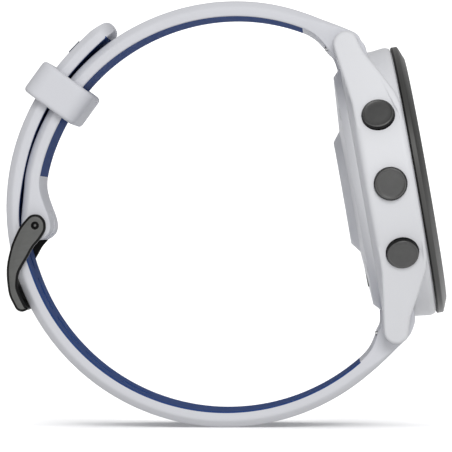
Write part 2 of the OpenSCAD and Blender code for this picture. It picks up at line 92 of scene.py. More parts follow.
BUTTON_Z, CAP_R, CAP_GAP, CAP_FACE, RECESS_FLOOR = -4.25, 2.7, 0.12, 24.1, 21.6
SCREW_RING, SCREWS_AT = 18.5, (45, 135, 225, 315)
LUG_PROFILE = [(8, -0.2), (13, -0.25), (15.1, -0.78), (18.9, -2.7), (22.6, -4.75)]
LUG_BACK = [(24, -9.55), (21.6, -9.25), (18.3, -8.8), (14.4, -8.3), (8, -8.3)]
LUG_GAP, LUG_OUT, LUG_TIP_Y, LUG_FROM, LUG_TIP_R = 11.2, 14, 27, 22.6, 2.2
ARM_EDGE, ARM_SINK, ARM_CLEAR = 0.55, 1.2, 10.5  # short of ARM_CLEAR, an arm sinks into the case
COVE = 0.25
SEAM_TOP = 0.31  # top of the painted shade in the seam under the bezel
BUTTONS = {"light": 150, "up": 180, "down": 210, "start": 30, "back": -30}
FIXED = "head_and_strap"

HEAD = Matrix(((0, -math.sin(LEAN), math.cos(LEAN), HEAD_X * MM),
               (1, 0, 0, 0),
               (0, math.cos(LEAN), math.sin(LEAN), HEAD_Z * MM),
               (0, 0, 0, 1)))


def turn(degrees):
    a = math.radians(degrees)
    return Vector((math.cos(a), math.sin(a)))


def placed(p, up=1):
    """A point [z, y] of the head's side view, in the X-Z plane of the loop."""
    z, y = p[0], p[1] * up
    return Vector((HEAD_X + z * math.cos(LEAN) - y * math.sin(LEAN),
                   HEAD_Z + z * math.sin(LEAN) + y * math.cos(LEAN)))


def station(angle):
    """Places a shape drawn along +z at a button's axis."""
    return HEAD @ Matrix.Rotation(math.radians(angle), 4, "Z") @ Matrix.Translation(
        (0, 0, BUTTON_Z * MM)) @ Matrix.Rotation(math.radians(90), 4, "Y")


# ---- mesh helpers ----------------------------------------------------------------------------

def new_object(name, mesh):
    obj = bpy.data.objects.new(name, mesh)
    bpy.context.scene.collection.objects.link(obj)
    return obj


def from_faces(name, verts, faces, sharp=35):
    """A smooth-shaded mesh from points in millimetres, with outward faces."""
    mesh = bpy.data.meshes.new(name)
    mesh.from_pydata([Vector(v) * MM for v in verts], [], faces)
    tidy_mesh(mesh, sharp)
    return new_object(name, mesh)


def tidy_mesh(mesh, sharp=35):
    """Merges close points, turns faces outwards and shades smooth up to an angle of sharp."""
    bm = bmesh.new()
    bm.from_mesh(mesh)
    bmesh.ops.remove_doubles(bm, verts=bm.verts, dist=1e-7)
    bmesh.ops.recalc_face_normals(bm, faces=bm.faces)
    bm.to_mesh(mesh)
    bm.free()
    mesh.polygons.foreach_set("use_smooth", [True] * len(mesh.polygons))
    mesh.set_sharp_from_angle(angle=math.radians(sharp))
    mesh.update()


def grid_faces(rings, count, path_closed):
    """Quads between neighbouring rings of count points."""
    faces = []
    for i in range(rings if path_closed else rings - 1):
        j = (i + 1) % rings
        for k in range(count):
            m = (k + 1) % count
            faces.append((i * count + k, i * count + m, j * count + m, j * count + k))
    return faces


def sweep(name, rings, path_closed=False, sharp=35):
    """Skins a list of closed rings that have the same number of points."""
    count = len(rings[0])
    faces = grid_faces(len(rings), count, path_closed)
    if not path_closed:
        faces.append(tuple(reversed(range(count))))
        faces.append(tuple((len(rings) - 1) * count + k for k in range(count)))
    return from_faces(name, [p for r in rings for p in r], faces, sharp)


def lathe(name, profile, segments=96, sharp=35):
    """Turns a closed outline of [r, z] about z."""
    rings = []
    for i in range(segments):
        a = 2 * math.pi * i / segments
        rings.append([(r * math.cos(a), r * math.sin(a), z) for r, z in profile])
    return sweep(name, rings, True, sharp)


def slab(name, outline, width):
    """An outline in the X-Z plane with a width along Y."""
    half = width / 2
    rings = [[(p[0], y, p[1]) for p in outline] for y in (-half, half)]
    return sweep(name, rings)


def inset(outline, d):
    """Moves a closed outline inwards by d."""
    n = len(outline)
    area = sum(outline[i].x * outline[(i + 1) % n].y - outline[(i + 1) % n].x * outline[i].y
               for i in range(n))
    side = 1 if area > 0 else -1
    out = []
    for i in range(n):
        along = (outline[(i + 1) % n] - outline[i - 1]).normalized()
        out.append(outline[i] + Vector((-along.y, along.x)) * side * d)
    return out


def round_steps(r, steps=4):
    """Depth from a face and inset of the outline, along a rounded edge."""
    angles = [math.radians(90 * s / steps) for s in range(steps + 1)]
    return [(r * (1 - math.cos(a)), r * (1 - math.sin(a))) for a in angles]


def rounded_slab(name, outline, low, high, r_low, r_high):
    """An outline in the X-Z plane between two Y planes, with rounded rims."""
    rings = []
    for depth, step in round_steps(r_low):
        rings.append([(p.x, low + depth, p.y) for p in inset(outline, step)])
    for depth, step in reversed(round_steps(r_high)):
        rings.append([(p.x, high - depth, p.y) for p in inset(outline, step)])
    return sweep(name, rings)


def paint(obj, index, test):
    """Gives the faces whose centre passes the test another of the object's materials."""
    for face in obj.data.polygons:
        if test(face.center / MM, face.normal):
            face.material_index = index


def spline(points, steps, closed=False):
    """A Catmull-Rom curve through points of any dimension."""
    n = len(points)
    out = []
    for i in range(n if closed else n - 1):
        if closed:
            p = [points[(i + k - 1) % n] for k in range(4)]
        else:
            p = [points[max(0, min(n - 1, i + k - 1))] for k in range(4)]
        for s in range(steps):
            t = s / steps
            out.append(p[1] * 1.0 + 0.5 * (t * (p[2] - p[0])
                       + t * t * (2 * p[0] - 5 * p[1] + 4 * p[2] - p[3])
                       + t * t * t * (3 * p[1] - p[0] - 3 * p[2] + p[3])))
    if not closed:
        out.append(points[-1])
    return out


def rounded_outline(points, radius, steps=6):
    """Rounds each corner of a closed outline; radius is one value, or one for each corner."""
    out = []
    n = len(points)
    for i in range(n):
        a, b, c = (Vector(points[(i + k) % n]) for k in (-1, 0, 1))
        r = radius[i] if isinstance(radius, (list, tuple)) else radius
        if r <= 0:
            out.append(b)
            continue
        u, v = (a - b), (c - b)
        reach = min(r, u.length * 0.49, v.length * 0.49)
        p, q = b + u.normalized() * reach, b + v.normalized() * reach
        for s in range(steps + 1):
            t = s / steps
            out.append((1 - t) ** 2 * p + 2 * t * (1 - t) * b + t * t * q)
    return out


def apply_modifiers(obj):
    """Replaces obj's mesh with the result of its modifiers."""
    mesh = bpy.data.meshes.new_from_object(obj.evaluated_get(bpy.context.evaluated_depsgraph_get()))
    old = obj.data
    obj.modifiers.clear()
    obj.data = mesh
    bpy.data.meshes.remove(old)


def carve(obj, cutters, sharp=35, added=()):
    """Joins each added piece to obj, cuts obj with each cutter, then drops them all.

    Pieces that meet at shallow angles go in one call: the solver does nothing to a mesh that isn't
    closed, and merging close points between two calls can leave it so.
    """
    tools = [(piece, "UNION") for piece in added] + [(cutter, "DIFFERENCE") for cutter in cutters]
    for tool, operation in tools:
        mod = obj.modifiers.new("carve", "BOOLEAN")
        mod.operation = operation
        mod.solver = "MANIFOLD"
        mod.object = tool
    bpy.context.view_layer.update()
    apply_modifiers(obj)
    for tool, _ in tools:
        bpy.data.objects.remove(tool)
    tidy_mesh(obj.data, sharp)


def bevel(obj, width, segments, angle, weld=False):
    """Rounds the edges sharper than angle; weld first joins a mesh whose faces are apart."""
    if weld:
        w = obj.modifiers.new("weld", "WELD")
        w.merge_threshold = 1e-6
    mod = obj.modifiers.new("bevel", "BEVEL")
    mod.width = width * MM
    mod.segments = segments
    mod.limit_method = "ANGLE"
    mod.angle_limit = math.radians(angle)


def turned(name, stations, at, segments=32):
    """A round bar along Y, through stations of [y, radius]."""
    rings = []
    for y, r in stations:
        angles = [2 * math.pi * k / segments for k in range(segments)]
        rings.append([(at[0] + r * math.cos(a), y, at[1] + r * math.sin(a)) for a in angles])
    return sweep(name, rings)


def rod(name, r, low, high, at):
    """A plain round bar along Y."""
    return turned(name, [(low, r), (high, r)], at)


def disc(name, r, low, high, segments):
    """A plain round bar along Z."""
    angles = [2 * math.pi * k / segments for k in range(segments)]
    return sweep(name, [[(r * math.cos(a), r * math.sin(a), z) for a in angles] for z in (low, high)])


def block(name, low, high):
    """A box between two corners."""
    rings = [[(low[0], y, low[2]), (high[0], y, low[2]), (high[0], y, high[2]), (low[0], y, high[2])]
             for y in (low[1], high[1])]
    return sweep(name, rings)


def dress(obj, looks, body, slot, *nodes):
    """Gives obj its materials and body, in place of the CAD nodes; slot is not used."""
    obj.data.materials.clear()
    for look in looks if isinstance(looks, list) else [looks]:
        obj.data.materials.append(look)
    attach(obj, body)
    if nodes:
        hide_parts(*nodes)
    return obj


# ---- materials -------------------------------------------------------------------------------

def material(name, colour, rough, metal=0.0, shine=0.5, vary=0.04, vary_scale=120, grain=3000,
             depth=0.02, rough_vary=0.06, brush=None, coat=0.0):
    """A procedural surface: broad colour variation, and fine grain in its roughness and bump.

    depth is the bump's height in millimetres, and brush stretches the grain along the head's axes.
    """
    mat = bpy.data.materials.new(name)
    mat.use_nodes = True
    nodes, links = mat.node_tree.nodes, mat.node_tree.links
    shader = nodes["Principled BSDF"]
    shader.inputs["Metallic"].default_value = metal
    shader.inputs["Specular IOR Level"].default_value = shine
    shader.inputs["Coat Weight"].default_value = coat
    shader.inputs["Coat Roughness"].default_value = 0.08
    where = nodes.new("ShaderNodeTexCoord")
    broad = nodes.new("ShaderNodeTexNoise")
    broad.inputs["Scale"].default_value = vary_scale
    broad.inputs["Detail"].default_value = 3
    links.new(where.outputs["Object"], broad.inputs["Vector"])
    tint = nodes.new("ShaderNodeMapRange")
    tint.inputs["To Min"].default_value = 1 - vary
    tint.inputs["To Max"].default_value = 1 + vary
    links.new(broad.outputs["Fac"], tint.inputs["Value"])
    scale = nodes.new("ShaderNodeVectorMath")
    scale.operation = "SCALE"
    scale.inputs[0].default_value = colour
    links.new(tint.outputs["Result"], scale.inputs["Scale"])
    links.new(scale.outputs["Vector"], shader.inputs["Base Color"])
    fine = nodes.new("ShaderNodeTexNoise")
    fine.inputs["Scale"].default_value = grain
    fine.inputs["Detail"].default_value = 2
    if brush:
        stretch = nodes.new("ShaderNodeMapping")
        stretch.vector_type = "TEXTURE"
        stretch.inputs["Rotation"].default_value = (0, -LEAN, 0)
        stretch.inputs["Scale"].default_value = brush
        links.new(where.outputs["Object"], stretch.inputs["Vector"])
        links.new(stretch.outputs["Vector"], fine.inputs["Vector"])
        links.new(stretch.outputs["Vector"], broad.inputs["Vector"])
    else:
        links.new(where.outputs["Object"], fine.inputs["Vector"])
    gloss = nodes.new("ShaderNodeMapRange")
    gloss.inputs["To Min"].default_value = max(0.02, rough - rough_vary)
    gloss.inputs["To Max"].default_value = rough + rough_vary
    links.new(fine.outputs["Fac"], gloss.inputs["Value"])
    links.new(gloss.outputs["Result"], shader.inputs["Roughness"])
    bump = nodes.new("ShaderNodeBump")
    bump.inputs["Strength"].default_value = 0.5
    bump.inputs["Distance"].default_value = depth * MM
    links.new(fine.outputs["Fac"], bump.inputs["Height"])
    links.new(bump.outputs["Normal"], shader.inputs["Normal"])
    return mat


MATERIALS = {
    "case_resin": material("case_resin", (0.72, 0.727, 0.755), 0.45, grain=9000, depth=0.012, vary=0.015),
    "bezel_black": material("bezel_black", (0.05, 0.05, 0.048), 0.42, 0.3, grain=90,
                            brush=(0.02, 1, 1), depth=0.02, vary=0.45, vary_scale=60),
    "front_glass": material("front_glass", (0.004, 0.004, 0.005), 0.05, coat=1.0, depth=0.0,
                            rough_vary=0.02),
    "window_glass": material("window_glass", (0.006, 0.006, 0.007), 0.08, coat=1.0, depth=0.0,
                             rough_vary=0.02),
    "seal_rubber": material("seal_rubber", (0.015, 0.015, 0.015), 0.7),
    "display_black": material("display_black", (0.006, 0.006, 0.008), 0.2),
    "flex_amber": material("flex_amber", (0.42, 0.2, 0.04), 0.35, coat=0.3),
    "frame_resin": material("frame_resin", (0.1, 0.1, 0.11), 0.6),
    "board_green": material("board_green", (0.01, 0.09, 0.04), 0.4, coat=0.4, vary=0.2, vary_scale=600),
    "can_steel": material("can_steel", (0.6, 0.6, 0.6), 0.3, 1.0, brush=(1, 0.08, 1), grain=800),
    "antenna_plate": material("antenna_plate", (0.8, 0.58, 0.24), 0.3, 1.0),
    "battery_foil": material("battery_foil", (0.58, 0.58, 0.6), 0.35, 0.9, grain=1200, depth=0.05),
    "beeper_resin": material("beeper_resin", (0.18, 0.18, 0.19), 0.5),
    "led_resin": material("led_resin", (0.25, 0.6, 0.3), 0.2),
    "button_metal": material("button_metal", (0.075, 0.075, 0.074), 0.38, 0.6, grain=5000, depth=0.01,
                             vary=0.1, vary_scale=900),
    "spring_steel": material("spring_steel", (0.4, 0.4, 0.4), 0.3, 1.0),
    "strap_white": material("strap_white", (0.655, 0.662, 0.70), 0.58, grain=7000, depth=0.015,
                            vary=0.02, shine=0.35),
    "strap_blue": material("strap_blue", (0.027, 0.066, 0.225), 0.8, shine=0.06, grain=5000, depth=0.015,
                           vary=0.12, vary_scale=260),
    "buckle_metal": material("buckle_metal", (0.095, 0.096, 0.093), 0.45, 0.6, grain=900, brush=(1, 1, 0.2),
                             depth=0.01, vary=0.12, vary_scale=500),
    "marker_dark": material("marker_dark", (0.05, 0.06, 0.085), 0.4),
}
# Painted shade: a near-black material for rims, walls and gaps that look dark from shade, not from their
# own colour.
SHADE_BLACK = material("painted_shade_black", (0.006, 0.006, 0.006), 0.45, shine=0.12, vary=0.1)

# ---- strap -----------------------------------------------------------------------------------

def flared(angle):
    """How far the lower strap stands off its arc near its free end."""
    return FLARE * (max(0, FLARE_FROM - angle) / (FLARE_FROM - TIP_AT)) ** FLARE_CURVE


def lower_in(angle):
    """Inner radius of the lower strap, stepped out where it passes over the knuckle."""
    return LOWER_R + BULGE * math.exp(-((angle - BULGE_AT) / BULGE_WIDE) ** 2) + flared(angle)


def lower_point(angle, n):
    """A point of the lower strap, n out from its inner face."""
    return LOWER_C + (LOWER_R + flared(angle) + n) * turn(angle)


def section(half, thick, cut):
    """Half-width, thickness and edge bevel to a closed ring of [y, d], d out from the inner face."""
    rim = INNER_RIM
    side = []
    for s in range(4):
        a = math.radians(90 * s / 3)
        side.append((half - rim + rim * math.sin(a), rim - rim * math.cos(a)))
    cut = max(cut, 0.12)
    soft = min(0.3, cut * 0.4)
    low, high = Vector((half, thick - cut)), Vector((half - cut, thick))
    for corner, before, after in ((low, Vector((0, -1)), Vector((-1, 1)).normalized()),
                                  (high, Vector((1, -1)).normalized(), Vector((-1, 0)))):
        p, q = corner + before * soft, corner + after * soft
        for s in range(4):
            t = s / 3
            side.append(tuple((1 - t) ** 2 * p + 2 * t * (1 - t) * corner + t * t * q))
    across = 10
    top = [(side[-1][0] * (1 - 2 * k / across), thick) for k in range(1, across)]
    left = [(-y, d) for y, d in reversed(side)]
    bottom = [(left[-1][0] * (1 - 2 * k / across), 0.0) for k in range(1, across)]
    return side + top + left + bottom


def strap_rings(stations):
    """Each station is (inner point, outer point, half-width, edge bevel, rib depth)."""
    rings = []
    for inner, outer, half, cut, rib in stations:
        thick = (outer - inner).length
        out = (outer - inner) / thick
        ring = []
        for y, d in section(half, thick, min(cut, half * 0.5)):
            if rib and d > thick - 0.02:
                d -= rib
            p = inner + out * d
            ring.append((p.x, y, p.y))
        rings.append(ring)
    return rings


def ease(t):
    """0 to 1 with a soft start and end."""
    t = max(0.0, min(1.0, t))
    return t * t * (3 - 2 * t)


def lug_stations(up):
    """Inner and outer points of a strap half, from the lug bar out."""
    outer = LUG_OUTER_UP if up > 0 else LUG_OUTER
    return [(placed(i, up), placed(o, up)) for i, o in zip(LUG_INNER, outer)]


def resampled(pairs, steps):
    """A smooth run through pairs of inner and outer points."""
    flat = [Vector((a.x, a.y, b.x, b.y)) for a, b in pairs]
    return [(Vector((v[0], v[1])), Vector((v[2], v[3]))) for v in spline(flat, steps)]


def lug_cutters(up):
    """What a strap half makes room for at the head: the case, the lug bar and its lever."""
    case = disc("cut_case", CASE_R + 0.1, -13, 3, 160)
    case.data.transform(HEAD)
    at = placed((LUG_Z, LUG_Y), up)
    bore = rod("cut_bore", BAR_R, -STRAP_W, STRAP_W, at)
    slot = block("cut_slot", (-8.5, up * LUG_Y - 0.45, -14), (-5.9, up * LUG_Y + 0.45, LUG_Z))
    slot.data.transform(HEAD)
    return [case, bore, slot]


def upper_point(angle, n):
    """A point of the upper strap, n out from its inner face, on a slightly flattened arc."""
    flat = 0.17 * math.exp(-((angle - 112) / 26) ** 2) - 0.15 * ease((angle - 150) / 18)
    return UPPER_C + (UPPER_R - flat + n) * turn(angle)


def build_upper_strap():
    pairs = lug_stations(1)
    for k in range(UPPER_LINED + 1):
        a = UPPER_FROM + UPPER_TURN * k
        pairs.append((upper_point(a, 0), upper_point(a, STRAP_T)))
    knuckle = [((-31.62, 4.7), (-34.35, 4.6)), ((-31.3, 3.1), (-34.52, 2.7)),
               ((-30.68, 1.3), (-34.7, 0.9)), ((-30.08, -0.3), (-34.82, -0.8)),
               ((-29.79, -1.8), (-34.8, -2.1)), ((-30.0, -2.95), (-34.45, -3.1)),
               ((-30.75, -3.85), (-33.75, -3.9)), ((-31.6, -4.27), (-33.0, -4.25))]
    pairs += [(Vector(a), Vector(b)) for a, b in knuckle]
    stations = []
    line = resampled(pairs, 5)
    bend_at = len(LUG_INNER) * 5
    for i, (a, b) in enumerate(line):
        near_lug = ease((i - bend_at + 18) / 22)
        near_bar = ease((len(line) - 1 - i - 6) / 18)
        cut = LUG_END_CUT + (EDGE_CUT - LUG_END_CUT) * near_lug * near_bar
        stations.append((a, b, STRAP_W / 2, cut, 0))
    strap = sweep("upper_strap_band", strap_rings(stations))
    bore = rod("cut_bar", BAR_R + FIT, -STRAP_W, STRAP_W, BAR_AT)
    slot = block("cut_tongue", (-38, -TONGUE_W / 2 - 0.3, -6.8), (-27, TONGUE_W / 2 + 0.3, 0.7))
    carve(strap, [*lug_cutters(1), bore, slot, lining_cutter(upper_inner(), upper_rim)])
    return strap


def upper_inner():
    """The line that the upper lining follows."""
    count = 80
    return [upper_point(UPPER_FROM + UPPER_TURN * UPPER_LINED * s / count, 0) for s in range(count + 1)]


def lower_inner():
    """The line that the lower lining follows."""
    count = 186
    line = []
    for s in range(count + 1):
        a = LOWER_FROM + (LOWER_LINED_TO - LOWER_FROM) * s / count
        line.append(LOWER_C + lower_in(a) * turn(a))
    return line


def normals(line):
    """Outward normals of a line that runs round the loop either way."""
    out = []
    for i, p in enumerate(line):
        t = (line[min(i + 1, len(line) - 1)] - line[max(i - 1, 0)]).normalized()
        n = Vector((-t.y, t.x))
        out.append(n if n.dot(p) > 0 else -n)
    return out


def upper_rim(_share):
    """Half-width of the upper half's lining: a white rim hides its edges all the way."""
    return STRAP_W / 2 - LINING_RIM


def lower_rim(share):
    """Half-width of the lower half's lining: full, then behind a rim past the buckle."""
    return STRAP_W / 2 - LINING_RIM * ease((share - 0.62) / 0.06)


def lining_cutter(line, half_at):
    """The pocket that a lining lies in."""
    rings = []
    for i, (p, n) in enumerate(zip(line, normals(line))):
        half = half_at(i / (len(line) - 1))
        half = half if half < STRAP_W / 2 - 0.001 else STRAP_W
        a, b = p - n * 0.4, p + n * LINING_T
        rings.append([(a.x, -half, a.y), (a.x, half, a.y), (b.x, half, b.y), (b.x, -half, b.y)])
    return sweep("cut_lining", rings)


def build_lining(name, line, half_at, cutters=()):
    rings = []
    rim, back = LINING_EDGE, LINING_T - LINING_GAP
    for i, (p, n) in enumerate(zip(line, normals(line))):
        half = half_at(i / (len(line) - 1)) - LINING_GAP
        side = [(half - rim, 0), (half - rim * 0.3, rim * 0.3), (half, rim), (half, back)]
        ring2d = [(-y, d) for y, d in side[::-1]] + [(half * k / 5, 0) for k in range(-4, 5)] + side
        rings.append([((p + n * d).x, y, (p + n * d).y) for y, d in ring2d])
    obj = sweep(name, rings)
    if cutters:
        carve(obj, list(cutters))
    return obj


def hole_cutters():
    """The row of oblong buckle holes."""
    cutters = []
    for k in range(-4, 5):
        a = HOLE_FROM - HOLE_PITCH * k
        outline = []
        r, reach = HOLE_W / 2, (HOLE_L - HOLE_W) / 2
        for s in range(32):
            b = 2 * math.pi * s / 32
            x = r * math.cos(b) + (reach if math.cos(b) >= 0 else -reach)
            outline.append((x, r * math.sin(b)))
        rings = []
        mid, along = turn(a), turn(a + 90)
        for depth in (-2, 5):
            ring = []
            for s, y in outline:
                p = LOWER_C + (LOWER_R + depth) * mid + s * along
                ring.append((p.x, y, p.y))
            rings.append(ring)
        cutters.append(sweep("cut_hole", rings))
    return cutters


def rib_depth(angle):
    """Shallow grooves across the outer face, between the buckle and the keeper."""
    zone = ease((-angle - 130) / 5) * ease((222 + angle) / 4)
    run = math.radians(-angle) * (LOWER_R + STRAP_T)
    phase = (run / RIB_PITCH) % 1
    return RIB_DEPTH * zone * ease(1 - abs(phase - 0.5) / 0.2)


def build_lower_strap():
    pairs = lug_stations(-1)
    for a in range(LOWER_FROM, LOWER_FROM - 14, -3):
        pairs.append((LOWER_C + lower_in(a) * turn(a), lower_point(a, STRAP_T)))
    stations = []
    steps = 5
    for i, (a, b) in enumerate(resampled(pairs, steps)[:-2 * steps]):
        cut = LOWER_END_CUT + (EDGE_CUT - LOWER_END_CUT) * ease((i - 14) / 22)
        stations.append((a, b, STRAP_W / 2, cut, 0))
    start = LOWER_FROM + LOWER_TURN * 2
    end = LOWER_TO + TIP_ARC
    fine_steps = 800
    for s in range(1, fine_steps + 1):
        a = start + (end - start) * s / fine_steps
        inner = LOWER_C + lower_in(a) * turn(a)
        stations.append((inner, lower_point(a, STRAP_T), STRAP_W / 2, EDGE_CUT, rib_depth(a)))
    reach = LOWER_R * math.radians(end - TIP_AT)
    for s in range(1, 41):
        left = reach * math.cos(math.radians(90 * s / 40))
        half = STRAP_W / 2 * (1 - (1 - left / reach) ** TIP_FULLNESS) ** (1 / TIP_FULLNESS)
        a = TIP_AT + math.degrees(left / LOWER_R)
        fall = 1 - math.sqrt(1 - max(0, 1 - left / TIP_SOFT) ** 2)
        slope = 0.45 * (1 - left / reach)
        stations.append((lower_point(a, 0.9 * fall), lower_point(a, STRAP_T - slope - 0.9 * fall),
                         max(half, 0.6), EDGE_CUT * (1 - 0.6 * fall), 0))
    strap = sweep("lower_strap_band", strap_rings(stations))
    first, last, bottom = MARKER_FROM + 0.03, MARKER_TO - 0.03, STRAP_T - MARKER_FLOOR
    pocket = slab("cut_marker", [lower_point(first, bottom), lower_point(last, bottom),
                                 lower_point(last, 4), lower_point(first, 4)], MARKER_W + 0.04)
    carve(strap, [*lug_cutters(-1), *hole_cutters(), lining_cutter(lower_inner(), lower_rim), pocket])
    return strap


def build_marker():
    """The blank plate let into the strap's outer face."""
    corners = []
    for a, n in ((MARKER_FROM, -MARKER_DEEP), (MARKER_TO, -MARKER_DEEP),
                 (MARKER_TO, MARKER_PROUD), (MARKER_FROM, MARKER_PROUD)):
        corners.append(lower_point(a, STRAP_T + n))
    return slab("marker_plate", rounded_outline(corners, 0.06, 3), MARKER_W)


def build_keeper():
    """A moulded band, swept round a rectangle with soft corners."""
    mid = (KEEPER_FROM + KEEPER_TO) / 2
    high, wide = (KEEPER_TO - KEEPER_FROM) / 2, KEEPER_W / 2
    inner_high, inner_wide = (HOLLOW_TO - HOLLOW_FROM) / 2, HOLLOW_W / 2
    inner_mid = (HOLLOW_FROM + HOLLOW_TO) / 2
    corner, inner_corner, steps = 2.9, 1.0, 12
    outer_line, inner_line = [], []
    for sr, sy, start in ((1, 1, 0), (-1, 1, 90), (-1, -1, 180), (1, -1, 270)):
        for s in range(steps + 1):
            a = math.radians(start + 90 * s / steps)
            c, d = math.cos(a), math.sin(a)
            outer_line.append(Vector((mid + sr * (high - corner) + corner * c,
                                      sy * (wide - corner) + corner * d)))
            inner_line.append(Vector((inner_mid + sr * (inner_high - inner_corner) + inner_corner * c,
                                      sy * (inner_wide - inner_corner) + inner_corner * d)))
    out, along = turn(KEEPER_AT), turn(KEEPER_AT + 90)
    half = KEEPER_L / 2
    rings = []
    for o, i in zip(outer_line, inner_line):
        gap = (o - i).length
        n = (o - i) / gap
        outline = rounded_outline([(0, -half), (gap, -half), (gap, half), (0, half)],
                                  [0.3, 1.15, 1.15, 0.3], 8)
        ring = []
        for d, s in outline:
            q = i + n * d
            p = out * q.x + along * s
            ring.append((p.x, q.y, p.y))
        rings.append(ring)
    return sweep("keeper_band", rings, True, 50)


# ---- buckle ----------------------------------------------------------------------------------

PLATE = [(-30.5, -1.9), (-30.7, -2.9), (-31.6, -4.3), (-32.6, -5.5), (-33.5, -7.1), (-34.4, -8.6),
         (-35, -9.8), (-35.2, -11), (-35.2, -12.4), (-34.6, -13.9), (-33.9, -15.3), (-33.5, -15.8),
         (-33.9, -16.2), (-34.6, -16.35), (-35.4, -16), (-36, -15), (-36.65, -13.6), (-36.95, -11.9),
         (-37.1, -9.9), (-37, -8.2), (-36.7, -6.7), (-36.3, -5.2), (-35.7, -3.7), (-34.95, -2.2),
         (-34, -0.95), (-33.2, -0.15), (-32.3, 0.1), (-31.4, -0.15), (-30.7, -0.95)]


def build_buckle_frame():
    outline = spline([Vector(p) for p in PLATE], 5, True)
    plates = []
    for low, high, r_low, r_high in ((-PLATE_OUT, -PLATE_IN, EDGE_R, 0.15),
                                     (PLATE_IN, PLATE_OUT, 0.15, EDGE_R)):
        plate = rounded_slab("plate", outline, low, high, r_low, r_high)
        carve(plate, [eye_cutter(low, high)])
        plates.append(plate)
    hook = [p for p in outline if p.y < -11.6]
    first = max(range(len(hook)), key=lambda i: (hook[i] - hook[i - 1]).length)
    hook = inset(hook[first:] + hook[:first], 0.05)
    shell = plates[0]
    shell.name = "buckle_frame_shell"
    carve(shell, [], added=[plates[1], slab("hook", hook, 2 * PLATE_IN + 0.4)])
    half = TONGUE_W / 2 + 0.2
    carve(shell, [block("cut_notch", (-38, -half, -14.2), (-35.65, half, -11.2))])
    return shell


def eye_cutter(low, high):
    """The bar's hole in a plate, opening into a shallow dish on the plate's outer side."""
    outer = high if high > 0 else low
    side = 1 if high > 0 else -1
    steps = ((-2, 0.55), (-0.15, 0.55), (-0.15, 0.6), (-0.04, 0.66), (0.2, 0.8))
    return turned("cut_eye", [(outer + side * y, r) for y, r in steps], BAR_AT, 40)


def build_tongue():
    outline = [(-33.5, -2.4), (-34.3, -4.5), (-35.5, -6.7), (-36.3, -8.5), (-36.75, -10.5),
               (-36.85, -12.6), (-36.6, -13.9), (-36.2, -14.1), (-35.75, -13.6), (-35.75, -12.4),
               (-35.7, -10.7), (-35.95, -9.5), (-35.5, -8.66), (-34.5, -6.6), (-33.3, -4.4),
               (-32, -3.38), (-31, -2.7), (-30.75, -1.8), (-31.05, -0.75), (-31.9, -0.25),
               (-32.9, -0.35), (-33.5, -1.1)]
    blade = slab("buckle_tongue_blade", spline([Vector(p) for p in outline], 3, True), TONGUE_W)
    carve(blade, [rod("cut_bar", BAR_R + FIT, -5, 5, BAR_AT)])
    return blade


def build_bar():
    """The bar, stepped down at each end to a small raised dot."""
    reach_in, reach_out = PLATE_IN - 0.05, PLATE_OUT - 0.1
    half = [(reach_in, BAR_R), (reach_in, BAR_TIP_R), (reach_out - 0.3, BAR_TIP_R),
            (reach_out - 0.2, BAR_DOT_R), (reach_out - 0.02, BAR_DOT_R), (reach_out, BAR_DOT_R - 0.06)]
    return turned("buckle_bar_turned", [(-y, r) for y, r in reversed(half)] + half, BAR_AT)


# ---- head ------------------------------------------------------------------------------------

def build_button(name):
    """A cap with a raised rim and a dished face, on a stem with a groove for its clip."""
    cap_back = RECESS_FLOOR + 0.8
    profile = [(0.001, 18.9), (0.8, 18.9), (0.8, 19.43), (0.55, 19.43), (0.55, 19.87), (0.8, 19.87),
               (0.8, 23.3), (2.2, 23.3), (2.2, cap_back), (2.6, cap_back), (CAP_R, cap_back + 0.12),
               (CAP_R, CAP_FACE - 0.3), (CAP_R - 0.04, CAP_FACE - 0.15), (CAP_R - 0.12, CAP_FACE - 0.05),
               (CAP_R - 0.24, CAP_FACE), (CAP_R - 0.36, CAP_FACE - 0.02), (CAP_R - 0.42, CAP_FACE - 0.08),
               (CAP_R - 0.52, CAP_FACE - 0.1), (1.6, CAP_FACE - 0.07), (0.8, CAP_FACE - 0.05),
               (0.001, CAP_FACE - 0.04)]
    cap = lathe(name + "_button_turned", profile, 72, 40)
    cap.data.transform(station(BUTTONS[name]))
    return cap


def lug_arm(sx, sy):
    """One lug arm: its side view [y, z], swept from the strap's gap to a slanting outer face."""
    corners = [Vector(p) for p in LUG_PROFILE]
    tip = [Vector((LUG_Y, LUG_Z)) + LUG_TIP_R * turn(a) for a in range(50, -91, -10)]
    outline = corners[:1]
    for a, b in zip(corners, corners[1:] + tip[:1]):
        outline += [a + (b - a) * k / 6 for k in range(1, 7)]
    outline += tip[1:]
    back = [Vector(p) for p in LUG_BACK]
    for a, b in zip([tip[-1]] + back, back):
        outline += [a + (b - a) * k / 6 for k in range(1, 7)]
    base = CASE_R * turn(LUG_FROM)
    slope = (LUG_OUT - base.x) / (LUG_TIP_Y - base.y)
    rings = []
    for depth, step in round_steps(0.25):
        rings.append([(sx * (LUG_GAP + depth), sy * p.x, p.y) for p in inset(outline, step)])
    for depth, step in reversed(round_steps(ARM_EDGE, 6)):
        ring = []
        for p in inset(outline, step):
            sink = ARM_SINK * ease((ARM_CLEAR - p.x) / 2.5)
            ring.append((sx * (base.x + slope * (p.x - base.y) - depth - sink), sy * p.x, p.y))
        rings.append(ring)
    return sweep("arm", rings, False, 30)


